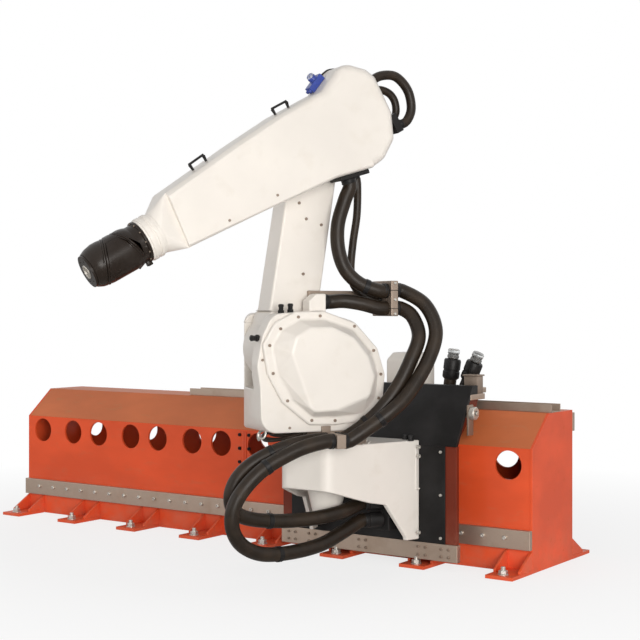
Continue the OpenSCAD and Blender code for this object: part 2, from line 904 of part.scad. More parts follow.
// Two wire loops on the upper arm's top face: place along the arm, height and tilt
module lifting_handles() {
    wire_r = 6;
    span = 80;
    rise = 34;
    front = arm_stations[0][1];
    back = arm_stations[1][1];
    tilt = atan2(back[1] - front[1], front[0] - back[0]);
    sloped = front + 0.58 * (back - front);
    color(black)
    at_upper_arm()
    for (place = [[150, arm_top, 0], [sloped[0], sloped[1], tilt]])
        translate([upper_mid - 20, -place[0], place[1]])
        rotate([place[2], 0, 0]) {
            for (y = [-span / 2, span / 2])
                translate([0, y, 0])
                cylinder(h = rise, r = wire_r);
            translate([0, -span / 2 - wire_r, rise])
            rotate([-90, 0, 0])
            cylinder(h = span + 2 * wire_r, r = wire_r);
        }
}

// Valve with a round cap and two ports, lying on the slope in front of the elbow hump
module air_valve() {
    seat_u = -105;
    color("#2f6fb5")
    at_upper_arm()
    translate([upper_in + 40, -seat_u, arm_top + ramp * (ramp_foot - seat_u)])
    rotate([atan(ramp), 0, 0]) {
        block([-27, -52, 0.2], [27, 46, 36]);
        translate([0, 8, 36])
        cylinder(h = 20, r = 22);
        for (x = [-13, 13])
            translate([x, -52, 18])
            rotate([90, 0, 0])
            cylinder(h = 12, r = 9);
    }
}

// Saddle under the elbow that takes the ends of the arm's hoses
module elbow_strap() {
    drop = [4, -22];
    color(black)
    at_upper_arm()
    across(upper_in + 8, upper_in + upper_w - 50)
    polygon([belly(0.05), belly(0.85), belly(0.85) + drop, belly(0.05) + drop]);
}

// Wrist: three roll bodies that meet on slanted round faces

first_joint = collar_u + neck_l;
second_joint = first_joint + mid_l;
flange_l = 12;

// Half space in front of a slanted face through the origin
module ahead(angle, gap) {
    slanted(angle)
    translate([-400, -400, gap])
    cube([800, 800, 400]);
}

module behind(angle, gap) {
    slanted(angle)
    translate([-400, -400, -400 - gap])
    cube([800, 800, 400]);
}

// Round rim about a slanted axis, in front of its joint face or behind it
module joint_rim(angle, side) {
    rim_h = 11;
    slanted(angle)
    translate([0, 0, side > 0 ? joint_gap / 2 : -joint_gap / 2 - rim_h])
    cylinder(h = rim_h, r = wrist_r + 3, $fn = 64);
}

module wrist_neck() {
    flange_h = 14;
    color(black)
    on_wrist(first_joint)
    difference() {
        union() {
            translate([0, 0, -neck_l + joint_gap])
            cylinder(h = flange_h, r = wrist_r);
            translate([0, 0, -neck_l + joint_gap])
            cylinder(h = neck_l, r = neck_r);
            sphere(r = wrist_r, $fn = 64);
        }
        ahead(slant, -joint_gap / 2);
        translate([0, 0, -300 - neck_l + joint_gap])
        cube(600, center = true);
    }
    color(black)
    on_wrist(first_joint)
    joint_rim(slant, -1);
}

module wrist_middle() {
    color(black)
    on_wrist(first_joint)
    difference() {
        union() {
            sphere(r = wrist_r, $fn = 64);
            cylinder(h = mid_l, r = wrist_r);
            translate([0, 0, mid_l])
            sphere(r = wrist_r, $fn = 64);
        }
        behind(slant, -joint_gap / 2);
        translate([0, 0, mid_l])
        ahead(-slant, -joint_gap / 2);
    }
    color(black)
    on_wrist(first_joint)
    joint_rim(slant, 1);
    color(black)
    on_wrist(second_joint)
    joint_rim(-slant, -1);
}

module wrist_head() {
    color(black)
    on_wrist(second_joint)
    difference() {
        rotate_extrude($fn = 64)
        polygon(concat([for (a = [-90 : 6 : 0]) wrist_r * [cos(a), sin(a)]],
            [[wrist_r, 24], [wrist_r - 8, 60], [tool_r + 4, head_l - flange_l], [0, head_l - flange_l]]));
        behind(-slant, -joint_gap / 2);
    }
    color(black)
    on_wrist(second_joint)
    joint_rim(-slant, 1);
}

module tool_flange() {
    color("#3a3a3d")
    on_wrist(second_joint + head_l - flange_l)
    difference() {
        cylinder(h = flange_l, r = tool_r);
        translate([0, 0, -eps])
        cylinder(h = flange_l + 2 * eps, r = bore_r);
        for (i = [0 : 5])
            rotate([0, 0, i * 60])
            translate([tool_bolt_r, 0, -eps])
            cylinder(h = flange_l + 2 * eps, d = 8.5);
    }
}

// Hoses

module lower_hose_outer() {
    color(black)
    at_swivel()
    tube(lower_outer_route, hose_d);
}

module lower_hose_inner() {
    color(black)
    at_swivel()
    tube(lower_inner_route, hose_d);
}

module arc_hose_outer() {
    color(black)
    at_swivel()
    tube(arc_outer_route, hose_d);
}

module arc_hose_inner() {
    color(black)
    at_swivel()
    tube(arc_inner_route, hose_d);
}

module arm_hose_main() {
    color(black)
    at_swivel()
    tube(arm_main_route, hose_d);
}

module arm_hose_short() {
    color(black)
    at_swivel()
    tube(arm_short_route, hose_d);
}

module arm_hose_thin() {
    color(black)
    at_swivel()
    tube(arm_thin_route, thin_d);
}

module elbow_hose_outer() {
    color(black)
    at_upper_arm()
    tube(elbow_outer_route, elbow_hose_d);
}

module elbow_hose_inner() {
    color(black)
    at_upper_arm()
    tube(elbow_inner_route, thin_d);
}

rail_front_plate();
rail_roof_plate();
rail_back_plate();
rail_base_plate();
rail_end_plates();
rail_feet();
foot_gussets();
front_guide_bar();
rear_guide_bar();
cable_tray();
trolley_frame();
trolley_panel();
trolley_bar();
trolley_cover();
guide_rollers();
travel_drive();
supply_couplings();
console();
gear_cup();
slew_ring();
hose_block();
turntable();
swivel_housing();
near_side_cover();
far_side_cover();
lower_clamp();
lower_arm();
arm_clamp();
upper_arm();
elbow_boss();
elbow_plate();
wrist_collar();
lifting_handles();
air_valve();
elbow_strap();
wrist_neck();
wrist_middle();
wrist_head();
tool_flange();
lower_hose_outer();
lower_hose_inner();
arc_hose_outer();
arc_hose_inner();
arm_hose_main();
arm_hose_short();
arm_hose_thin();
elbow_hose_outer();
elbow_hose_inner();
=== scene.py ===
"""Looks of a painting robot on a floor rail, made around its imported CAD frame."""

import json
import math

import bpy
from mathutils import Matrix, Vector

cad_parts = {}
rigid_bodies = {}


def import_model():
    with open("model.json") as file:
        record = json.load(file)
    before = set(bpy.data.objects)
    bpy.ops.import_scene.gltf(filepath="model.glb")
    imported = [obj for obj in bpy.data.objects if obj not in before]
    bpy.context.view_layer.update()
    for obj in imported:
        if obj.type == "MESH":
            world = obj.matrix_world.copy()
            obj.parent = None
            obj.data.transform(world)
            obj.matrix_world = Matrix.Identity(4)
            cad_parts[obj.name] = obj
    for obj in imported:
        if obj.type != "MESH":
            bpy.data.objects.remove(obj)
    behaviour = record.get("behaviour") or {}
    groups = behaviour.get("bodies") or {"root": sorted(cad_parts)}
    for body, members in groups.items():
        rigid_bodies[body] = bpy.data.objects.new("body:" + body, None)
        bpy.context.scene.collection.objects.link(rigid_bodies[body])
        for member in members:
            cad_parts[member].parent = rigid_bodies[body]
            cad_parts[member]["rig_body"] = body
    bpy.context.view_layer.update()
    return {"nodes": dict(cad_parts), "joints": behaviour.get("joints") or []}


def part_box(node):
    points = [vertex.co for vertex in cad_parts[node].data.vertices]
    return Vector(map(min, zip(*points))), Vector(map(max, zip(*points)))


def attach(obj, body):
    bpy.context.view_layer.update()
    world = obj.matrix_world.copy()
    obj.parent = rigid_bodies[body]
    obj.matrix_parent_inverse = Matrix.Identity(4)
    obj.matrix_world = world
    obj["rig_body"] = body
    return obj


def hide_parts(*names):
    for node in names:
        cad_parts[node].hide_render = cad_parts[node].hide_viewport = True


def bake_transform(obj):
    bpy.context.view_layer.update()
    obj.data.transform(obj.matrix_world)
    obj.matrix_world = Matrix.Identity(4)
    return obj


bl_info = {
    "name": "Rail-mounted painting robot",
    "version": (1, 0, 0),
    "blender": (4, 5, 0),
    "location": "View3D > Sidebar > Robot",
    "description": "Dresses the robot's frame with rounded castings, hoses, fasteners and paint",
    "category": "Object",
}

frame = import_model()

MM = 0.001
# Faces of a CAD node that meet at less than this angle, in degrees, are merged
FLAT_ANGLE = 0.6

# Axes of the robot at rest, from the frame's own joints
joint_places = {joint["name"]: joint for joint in frame["joints"]}
SLEW = Vector(joint_places["slew"]["pos_m"])
ELBOW = Vector(joint_places["elbow"]["pos_m"])
ACROSS = Vector(joint_places["shoulder"]["axis"])
FORWARD = Vector(joint_places["wrist_roll"]["axis"])
TURN = math.atan2(ACROSS.y, ACROSS.x)
PITCH = -math.asin(FORWARD.z)

# Frames of the arm: X across towards the near side, -Y forward, Z up
RAIL = Matrix.Identity(4)
SWIVEL = Matrix.Translation((SLEW.x, SLEW.y, 0)) @ Matrix.Rotation(TURN, 4, "Z")
UPPER = Matrix.Translation(ELBOW) @ Matrix.Rotation(TURN, 4, "Z") @ Matrix.Rotation(PITCH, 4, "X")
WRIST = {name: Matrix.Translation(joint_places[name]["pos_m"]) @ Matrix.Rotation(TURN, 4, "Z")
         @ Matrix.Rotation(PITCH + math.pi / 2, 4, "X")
         for name in ("wrist_roll", "wrist_bend", "tool_roll")}

# Turns that point a piece's own Z out of a face
FACING = {
    "near": Matrix.Rotation(math.pi / 2, 4, "Y"),
    "far": Matrix.Rotation(-math.pi / 2, 4, "Y"),
    "front": Matrix.Rotation(math.pi / 2, 4, "X"),
    "rear": Matrix.Rotation(-math.pi / 2, 4, "X"),
    "top": Matrix.Identity(4),
}


def point(across, forward, up):
    """A spot in metres, from millimetres across, forward and up."""
    return Vector((across * MM, -forward * MM, up * MM))


def place(home, across, forward, up, facing="top"):
    """Matrix of a spot in a frame, with Z out of the face that it lies on."""
    return home @ Matrix.Translation(point(across, forward, up)) @ FACING[facing]


def around(home, radius, height, count):
    """Matrices evenly round a frame's Z axis, at a radius and height in millimetres."""
    return [home @ Matrix.Rotation(k * math.tau / count, 4, "Z")
            @ Matrix.Translation((radius * MM, 0, height * MM)) for k in range(count)]


def node_box(node):
    """Low and high corner of a CAD node, in millimetres."""
    low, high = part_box(node)
    return low / MM, high / MM


# Shader expressions


class Socket:
    """A shader socket that takes part in Python arithmetic."""

    def __init__(self, finish, link):
        self.finish = finish
        self.link = link

    def _math(self, operation, first, second):
        return self.finish.node("ShaderNodeMath", "Value", {"operation": operation}, {0: first, 1: second})

    def __add__(self, other):
        return self._math("ADD", self, other)

    __radd__ = __add__

    def __mul__(self, other):
        return self._math("MULTIPLY", self, other)

    __rmul__ = __mul__


class Finish:
    """A material whose nodes are added by expressions."""

    def __init__(self, name):
        self.material = bpy.data.materials.new(name)
        self.material.use_nodes = True
        self.tree = self.material.node_tree
        self.shader = self.tree.nodes["Principled BSDF"]

    def feed(self, target, value):
        if isinstance(value, Socket):
            self.tree.links.new(value.link, target)
        else:
            target.default_value = value

    def node(self, kind, output, settings=None, inputs=None):
        """Adds a node, sets it up, feeds its sockets and returns one of its outputs."""
        node = self.tree.nodes.new(kind)
        for key, value in (settings or {}).items():
            setattr(node, key, value)
        for key, value in (inputs or {}).items():
            self.feed(node.inputs[key], value)
        return Socket(self, node.outputs[output])

    def coordinates(self, scale=(1, 1, 1)):
        spot = self.node("ShaderNodeTexCoord", "Object")
        return self.node("ShaderNodeMapping", "Vector", None, {"Vector": spot, "Scale": scale})

    def noise(self, scale, detail, stretch=(1, 1, 1)):
        return self.node("ShaderNodeTexNoise", "Fac", None,
                         {"Vector": self.coordinates(stretch), "Scale": scale, "Detail": detail})

    def between(self, value, low, high):
        """A value from 0 to 1, spread between two limits of another."""
        return self.node("ShaderNodeMapRange", "Result", None,
                         {"Value": value, "From Min": low, "From Max": high})

    def mix(self, factor, first, second):
        return self.node("ShaderNodeMix", 2, {"data_type": "RGBA"}, {0: factor, 6: first, 7: second})

    def surface(self, **sockets):
        for key, value in sockets.items():
            self.feed(self.shader.inputs[key.replace("_", " ").title()], value)

    def bump(self, height, distance, strength):
        normal = self.node("ShaderNodeBump", "Normal", None,
                           {"Height": height, "Distance": distance, "Strength": strength})
        self.feed(self.shader.inputs["Normal"], normal)


# Colour of dust near the floor, and the factors that make the paint of the beam's roof paler and greyer:
# some dust, and a painted sheen of the sky on the faces that look up
DUST = [0.42, 0.27, 0.2, 1.0]
ROOF_DUST_AND_SHEEN = (0.8, 1.75, 2.1)


def tint(colour, changes):
    """A colour with a factor on each channel, as a shader value."""
    return [channel * change for channel, change in zip(colour[:3], changes)] + [1.0]


def shade(colour, factor):
    """A darker or lighter colour, as a shader value."""
    return tint(colour, (factor, factor, factor))


def casting_paint(name, colour, roughness):
    """Sprayed paint on a casting: slow drift of tone, faint orange peel, dust that dulls the gloss."""
    finish = Finish(name)
    drift = finish.between(finish.noise(2.3, 4.0), 0.35, 0.7)
    grime = finish.between(finish.noise(9.0, 6.0), 0.56, 0.78)
    tone = finish.mix(drift, shade(colour, 0.95), shade(colour, 1.03))
    tone = finish.mix(grime * 0.35, tone, tint(colour, (0.83, 0.8, 0.75)))
    finish.surface(base_color=tone, roughness=roughness + grime * 0.16)
    peel = finish.noise(420.0, 2.0)
    finish.bump(peel, 0.0004, 0.12)
    return finish.material


def rail_paint(name, colour, roughness):
    """Semi-gloss beam paint: rolled texture, rubbed patches, dust that settles near the floor."""
    finish = Finish(name)
    patches = finish.between(finish.noise(3.0, 5.0, (0.6, 1, 1.4)), 0.4, 0.72)
    scuffs = finish.between(finish.noise(26.0, 8.0, (0.35, 1, 1)), 0.6, 0.74)
    height = finish.node("ShaderNodeSeparateXYZ", "Z", None, {0: finish.coordinates()})
    dust = finish.between(height, 0.32, 0.0) * finish.between(finish.noise(14.0, 5.0), 0.3, 0.8)
    tone = finish.mix(patches, shade(colour, 0.86), shade(colour, 1.06))
    tone = finish.mix(scuffs * 0.3, tone, tint(colour, (0.72, 1.5, 2.4)))
    tone = finish.mix(dust * 0.3, tone, DUST)
    finish.surface(base_color=tone, roughness=roughness + scuffs * 0.2 + dust * 0.25)
    finish.shader.inputs["Specular IOR Level"].default_value = 0.3
    finish.bump(finish.noise(180.0, 3.0), 0.0006, 0.18)
    return finish.material


def bare_steel(name, colour, roughness, grain=(1, 1, 24)):
    """Machined steel with fine drawn lines and a few dull spots."""
    finish = Finish(name)
    lines = finish.noise(60.0, 6.0, grain)
    stains = finish.between(finish.noise(7.0, 5.0), 0.5, 0.78)
    tone = finish.mix(lines, shade(colour, 0.82), shade(colour, 1.15))
    tone = finish.mix(stains * 0.45, tone, tint(colour, (0.6, 0.52, 0.44)))
    finish.surface(base_color=tone, roughness=roughness + lines * 0.12 + stains * 0.18, metallic=0.75)
    finish.bump(lines, 0.0003, 0.2)
    return finish.material


def dark_coat(name, colour, roughness, grain=260.0, shine=0.2):
    """Black powder coat: fine grit, dusty film, a little wear of the gloss."""
    finish = Finish(name)
    film = finish.between(finish.noise(6.0, 6.0), 0.42, 0.8)
    dusty = [channel + 0.022 for channel in colour[:3]] + [1.0]
    tone = finish.mix(film * 0.6, shade(colour, 0.9), dusty)
    finish.surface(base_color=tone, roughness=roughness + film * 0.15)
    finish.shader.inputs["Specular IOR Level"].default_value = shine
    finish.bump(finish.noise(grain, 2.0), 0.0005, 0.25)
    return finish.material


def hose_sleeve(name, colour):
    """Braided rubber sleeve: brown-black, with a fine weave and dusty stretches."""
    finish = Finish(name)
    dusty = finish.between(finish.noise(11.0, 5.0), 0.45, 0.75)
    weave = finish.node("ShaderNodeTexVoronoi", "Distance", {"feature": "F1"},
                        {"Vector": finish.coordinates(), "Scale": 240.0})
    tone = finish.mix(dusty * 0.7, shade(colour, 0.8), shade(colour, 1.9))
    finish.surface(base_color=tone, roughness=0.36 + dusty * 0.16)
    finish.shader.inputs["Specular IOR Level"].default_value = 0.25
    finish.bump(weave, 0.0012, 0.3)
    return finish.material


def moulded_plastic(name, colour, roughness, transmission=0.0):
    """Moulded plastic with a slight swirl in its tone."""
    finish = Finish(name)
    swirl = finish.between(finish.noise(30.0, 4.0), 0.3, 0.7)
    tone = finish.mix(swirl, shade(colour, 0.9), shade(colour, 1.08))
    finish.surface(base_color=tone, roughness=roughness + swirl * 0.06)
    finish.shader.inputs["Transmission Weight"].default_value = transmission
    return finish.material


finishes = {}


def make_finishes(colours):
    """Builds each finish once from the colours in the panel."""
    if finishes:
        return
    finishes["robot_white"] = casting_paint("casting_white", colours.casting, 0.36)
    finishes["rail_paint"] = rail_paint("beam_red", colours.beam, 0.33)
    # The roof's paint is a paler, greyer copy of the beam paint: dust, and painted sheen on the faces that
    # look up
    finishes["roof_paint"] = rail_paint("beam_roof", tint(colours.beam, ROOF_DUST_AND_SHEEN), 0.5)
    # The trolley frame's paint is the beam's red at a fifth of its brightness: painted shade, from a side
    # strip of the frame that lies in shadow
    finishes["frame_red_painted_shade"] = rail_paint("frame_shaded_red", shade(colours.beam, 0.2), 0.5)
    finishes["steel"] = bare_steel("guide_steel", colours.steel, 0.36, (1, 24, 24))
    finishes["bracket_steel"] = bare_steel("bracket_grey", shade(colours.steel, 0.72), 0.42)
    finishes["zinc"] = bare_steel("fastener_zinc", colours.fastener, 0.28, (3, 3, 3))
    finishes["black_metal"] = dark_coat("panel_black", colours.panel, 0.38)
    finishes["wrist_black"] = dark_coat("wrist_black", colours.wrist, 0.27, 420.0, 0.22)
    finishes["hose_rubber"] = hose_sleeve("hose_sleeve", colours.hose)
    finishes["blue_plastic"] = moulded_plastic("valve_blue", colours.valve, 0.28)
    finishes["clear_plastic"] = moulded_plastic("valve_clear", (0.9, 0.92, 0.92), 0.12, 0.85)


# Modelling helpers


def clear_selection():
    if bpy.context.object and bpy.context.object.mode != "OBJECT":
        leave_edit()
    bpy.ops.object.select_all(action="DESELECT")


def pick(piece):
    """Selects one object alone and makes it active."""
    clear_selection()
    piece.select_set(True)
    bpy.context.view_layer.objects.active = piece


def added(name, data):
    """A new object in the scene."""
    piece = bpy.data.objects.new(name, data)
    bpy.context.scene.collection.objects.link(piece)
    return piece


def enter_edit():
    """Enters edit mode on the active object, with its whole mesh selected."""
    bpy.ops.object.mode_set(mode="EDIT")
    bpy.ops.mesh.select_all(action="SELECT")


def leave_edit():
    bpy.ops.object.mode_set(mode="OBJECT")


def edit_top(piece):
    """Enters edit mode with the faces selected that look up."""
    pick(piece)
    bpy.ops.object.mode_set(mode="EDIT")
    bpy.ops.mesh.select_mode(type="FACE")
    bpy.ops.mesh.select_all(action="DESELECT")
    leave_edit()
    for face in piece.data.polygons:
        face.select = face.normal.z > 0.9
    bpy.ops.object.mode_set(mode="EDIT")


def mend_mesh():
    """Merges doubles and turns the faces outwards, in edit mode."""
    bpy.ops.mesh.select_all(action="SELECT")
    bpy.ops.mesh.remove_doubles(threshold=1e-5)
    bpy.ops.mesh.normals_make_consistent(inside=False)


def apply_place(piece):
    """Puts an object's place, turn and scale into its mesh."""
    pick(piece)
    bpy.ops.object.transform_apply(location=True, rotation=True, scale=True)


def smooth(piece, angle=35):
    """Smooths the shading over the edges that are flatter than an angle."""
    pick(piece)
    bpy.ops.object.shade_smooth_by_angle(angle=math.radians(angle))
    return piece


def round_edges(piece, width, segments=3, angle=32, clamp=True):
    """Rounds the edges sharper than an angle and smooths the shading."""
    pick(piece)
    bevel = piece.modifiers.new("rounding", "BEVEL")
    bevel.width = width
    bevel.segments = segments
    bevel.limit_method = "ANGLE"
    bevel.angle_limit = math.radians(angle)
    bevel.use_clamp_overlap = clamp
    bevel.miter_outer = "MITER_ARC"
    bpy.ops.object.modifier_apply(modifier=bevel.name)
    smooth(piece, 38)


def flatten_shading(piece):
    """Lets the large faces rule the shading, so that flat plates look flat up to their rounded edges."""
    pick(piece)
    weights = piece.modifiers.new("flat_faces", "WEIGHTED_NORMAL")
    weights.keep_sharp = True
    bpy.ops.object.modifier_apply(modifier=weights.name)


def complete(piece, name, finish, home=RAIL):
    """Names a modelled piece, puts its place into its mesh and paints it."""
    piece.name = name
    piece.data.name = name
    piece.matrix_world = home @ piece.matrix_world
    apply_place(piece)
    piece.data.materials.clear()
    piece.data.materials.append(finishes[finish])
    return piece


def settle(piece, name, finish, body, home=RAIL):
    """Completes a piece and ties it to a body."""
    complete(piece, name, finish, home)
    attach(piece, body)


def dress(node, finish, width, segments=3, clamp=True, angle=32):
    """A copy of a CAD node with merged faces and rounded edges, which stands for the node."""
    source = frame["nodes"][node]
    piece = added(node + "_shell", source.data.copy())
    pick(piece)
    enter_edit()
    mend_mesh()
    bpy.ops.mesh.dissolve_limited(angle_limit=math.radians(FLAT_ANGLE))
    leave_edit()
    round_edges(piece, width, segments, angle, clamp)
    flatten_shading(piece)
    body = source["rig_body"]
    settle(piece, node + "_shell", finish, body)
    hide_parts(node)
    return piece


def turned(profile, segments):
    """A round piece on Z: a disc extruded and scaled through radius and height pairs in millimetres."""
    radius, height = profile[0]
    clear_selection()
    bpy.ops.mesh.primitive_circle_add(vertices=segments, radius=radius * MM, fill_type="NGON",
                                      location=(0, 0, height * MM))
    piece = bpy.context.object
    bpy.ops.object.transform_apply(location=True)
    enter_edit()
    for next_radius, next_height in profile[1:]:
        rise = (next_height - height) * MM
        bpy.ops.mesh.extrude_region_move(TRANSFORM_OT_translate={"value": (0, 0, rise)})
        factor = next_radius / radius
        bpy.ops.transform.resize(value=(factor, factor, 1), center_override=(0, 0, next_height * MM))
        radius, height = next_radius, next_height
    mend_mesh()
    leave_edit()
    return piece


def slab(outline, half):
    """A plate across X = 0: forward and up points in millimetres, extruded by half a thickness each way."""
    clear_selection()
    bpy.ops.mesh.primitive_circle_add(vertices=len(outline), radius=1, fill_type="NGON")
    piece = bpy.context.object
    for vertex, (forward, up) in zip(piece.data.vertices, outline):
        vertex.co = point(-half, forward, up)
    enter_edit()
    bpy.ops.mesh.extrude_region_move(TRANSFORM_OT_translate={"value": (2 * half * MM, 0, 0)})
    mend_mesh()
    leave_edit()
    return piece


def block(low, high, edge, segments=2):
    """A rounded block between two corners, all in millimetres across, forward and up."""
    middle = [(a + b) / 2 for a, b in zip(low, high)]
    clear_selection()
    bpy.ops.mesh.primitive_cube_add(size=1, location=point(*middle))
    piece = bpy.context.object
    piece.scale = [abs(b - a) * MM for a, b in zip(low, high)]
    apply_place(piece)
    round_edges(piece, edge * MM, segments)
    return piece


def tube(points, diameter, roundness):
    """A round rod with closed ends through points in metres, as a mesh."""
    curve = bpy.data.curves.new("rod", "CURVE")
    curve.dimensions = "3D"
    curve.bevel_depth = diameter / 2
    curve.bevel_resolution = roundness
    curve.use_fill_caps = True
    spline = curve.splines.new("POLY")
    spline.points.add(len(points) - 1)
    for target, spot in zip(spline.points, points):
        target.co = (*spot, 1)
    pick(added("rod", curve))
    bpy.ops.object.convert(target="MESH")
    rod = bpy.context.object
    enter_edit()
    mend_mesh()
    leave_edit()
    return smooth(rod, 40)


def bent_rod(route, diameter, step):
    """A thin rod that runs smoothly through a route, all in millimetres."""
    path = smooth_path([Vector(spot) for spot in route], step)
    return tube([point(*spot) for spot in path], diameter * MM, 4)


def joined(pieces):
    """Joins several modelled pieces into the first one."""
    clear_selection()
    for piece in pieces:
        piece.select_set(True)
    bpy.context.view_layer.objects.active = pieces[0]
    bpy.ops.object.join()
    return bpy.context.object


def socket_screw(size):
    """A cap screw with a socket in its head, on Z."""
    screw = turned([(size * 0.5, -size * 0.1), (size * 0.5, size * 0.42), (size * 0.43, size * 0.5)], 14)
    edit_top(screw)
    bpy.ops.mesh.inset(thickness=size * 0.17 * MM)
    bpy.ops.mesh.extrude_region_move(TRANSFORM_OT_translate={"value": (0, 0, -size * 0.3 * MM)})
    leave_edit()
    return screw


def anchor_nut(size):
    """A hexagon nut on a washer with the end of its stud, on Z."""
    washer = turned([(size * 0.95, 0), (size * 0.95, size * 0.12), (size * 0.9, size * 0.15)], 20)
    nut = turned([(size * 0.72, size * 0.15), (size * 0.78, size * 0.22), (size * 0.78, size * 0.66),
                  (size * 0.68, size * 0.76)], 6)
    stud = turned([(size * 0.4, size * 0.7), (size * 0.4, size * 1.25), (size * 0.32, size * 1.35)], 14)
    return joined([washer, nut, stud])


def copies(master, places, name, finish, body):
    """Copies a small piece to every place, each with its own mesh, joined under one name."""
    made = []
    for spot in places:
        copy = added(name, master.data.copy())
        copy.matrix_world = spot
        made.append(copy)
    bpy.data.objects.remove(master)
    settle(smooth(joined(made)), name, finish, body)


def add_screws(size, places, name, finish, body):
    """Cap screws with a head of one size at every place."""
    copies(socket_screw(size), places, name, finish, body)


# Hoses


def smooth_path(route, step):
    """Points close together on a smooth curve through a route's points."""
    points = [route[0]] + list(route) + [route[-1]]
    path = []
    for before, start, end, after in zip(points, points[1:], points[2:], points[3:]):
        parts = max(2, round((end - start).length / step))
        for part in range(parts):
            t = part / parts
            path.append(0.5 * ((2 * start) + (end - before) * t
                               + (2 * before - 5 * start + 4 * end - after) * t ** 2
                               + (3 * start - before - 3 * end + after) * t ** 3))
    path.append(route[-1])
    return path


def path_length(path):
    return sum((b - a).length for a, b in zip(path, path[1:]))


def band_place(path, at, roll):
    """Matrix at a share of a path, with Z along it."""
    index = min(len(path) - 2, max(1, round(at * (len(path) - 1))))
    heading = (path[index + 1] - path[index - 1]).normalized()
    turn = heading.to_track_quat("Z", "Y").to_matrix().to_4x4()
    return Matrix.Translation(path[index]) @ turn @ Matrix.Rotation(roll, 4, "Z")


# Routes of the hoses at rest, as in the CAD model: across, forward and up in millimetres
HOSES = {
    "lower_hose_outer": (SWIVEL, 72, ("trolley", "swivel"),
        [(60, -204.4, 260), (60, -165, 260), (90, -60, 220), (140, 100, 170), (190, 290, 152),
         (235, 465, 165), (265, 585, 225), (285, 640, 325), (298, 618, 445), (312, 500, 575),
         (326, 320, 668), (338, 175, 705), (338, 129.6, 705)]),
    "lower_hose_inner": (SWIVEL, 72, ("trolley", "swivel"),
        [(60, -204.4, 350), (60, -165, 350), (130, -10, 322), (140, 200, 300), (155, 420, 312),
         (178, 560, 352), (200, 612, 430), (215, 585, 530), (230, 490, 615), (250, 325, 682),
         (262, 175, 705), (262, 129.6, 705)]),
    "arc_hose_outer": (SWIVEL, 72, ("swivel", "lower_arm"),
        [(338, 80.4, 705), (338, 40, 705), (372, -60, 775), (400, -150, 842), (404, -250, 930),
         (390, -370, 1090), (366, -430, 1240), (308, -400, 1370), (230, -312, 1440), (230, -263.6, 1440)]),
    "arc_hose_inner": (SWIVEL, 72, ("swivel", "lower_arm"),
        [(262, 80.4, 705), (262, 40, 705), (292, -50, 765), (322, -140, 850), (345, -225, 965),
         (348, -295, 1090), (335, -350, 1210), (280, -345, 1310), (230, -305, 1352), (230, -263.6, 1352)]),
    "arm_hose_main": (SWIVEL, 72, ("lower_arm", "upper_arm"),
        [(230, -222.4, 1440), (230, -180, 1440), (205, -85, 1475), (185, -15, 1545), (174, 20, 1650),
         (170, 20, 1770), (174, -15, 1890), (182, -42, 1963), (182, -31, 2000)]),
    "arm_hose_short": (SWIVEL, 72, ("lower_arm", "swivel"),
        [(230, -222.4, 1352), (230, -180, 1352), (212, -90, 1375), (186, -5, 1388), (158, 55, 1384),
         (158, 97.4, 1384)]),
    "arm_hose_thin": (SWIVEL, 40, ("lower_arm", "upper_arm"),
        [(160, -222.4, 1395), (160, -185, 1395), (135, -100, 1450), (122, -78, 1540), (120, -90, 1680),
         (130, -108, 1830), (141, -105, 1982), (141, -94, 2018.6)]),
    "elbow_hose_outer": (UPPER, 48, ("upper_arm",),
        [(188, -355.5, 150), (188, -425, 150), (188, -500, 110), (188, -530, 20), (188, -505, -70),
         (188, -450, -115), (188, -400.5, -115)]),
    "elbow_hose_inner": (UPPER, 40, ("upper_arm",),
        [(140, -355.5, 90), (140, -405, 90), (140, -450, 50), (140, -462, 0), (140, -445, -50),
         (140, -420, -72), (140, -400.5, -72)]),
}
# Length, in diameters, that each hose's length is compared with; the result of the comparison is not used
SHORTEST_CORD = 6
# Hoses that run bare into the clamp at their start
BARE_STARTS = ("arm_hose_short",)
# Straps round the hoses, as shares of their length
HOSE_TIES = {"lower_hose_outer": (0.36, 0.78), "lower_hose_inner": (0.4, 0.8), "arc_hose_outer": (0.2,),
             "arc_hose_inner": (0.2,), "arm_hose_main": (0.16,)}
# Turn of the straps' buckles round the hose
BUCKLE_TURN = math.radians(200)
# Distance of the points along a hose, in metres
HOSE_STEP = 0.012

# Cables and hooks under the swivel housing: diameter, and points across, forward and up in millimetres
BASE_CABLES = [
    (18, [(-170, 215, 726), (-110, 290, 714), (-40, 340, 704), (40, 352, 700), (110, 330, 702),
          (165, 280, 712), (180, 215, 724)]),
    (16, [(-140, 200, 736), (-80, 270, 730), (0, 318, 722), (80, 318, 718), (150, 270, 724),
          (172, 200, 734)]),
    (16, [(-60, 250, 738), (-20, 330, 718), (50, 372, 696), (120, 345, 698), (165, 290, 716),
          (175, 230, 734)]),
]
BASE_HOOKS = [
    (12, [(82, 376, 744), (82, 376, 726), (82, 386, 710), (82, 402, 706), (82, 415, 714), (82, 413, 728)]),
    (15, [(20, 350, 742), (20, 372, 738), (24, 388, 726), (26, 392, 704), (26, 386, 692)]),
]


# Settings

# Sensor of the camera in millimetres, and the shift that frames the robot
SENSOR_WIDTH = 36
LENS_SHIFT = (0.0703, -0.0203)
# Colour of the lamps and the spot that they point at
LAMP_COLOUR = (1.0, 0.97, 0.93)
LAMP_AIM = Vector((0, -0.9, 1.2))


def colour_setting(name, description, default):
    return bpy.props.FloatVectorProperty(name=name, description=description, subtype="COLOR", size=3,
                                         default=default)


def number_setting(name, description, default, **limits):
    return bpy.props.FloatProperty(name=name, description=description, default=default, **limits)


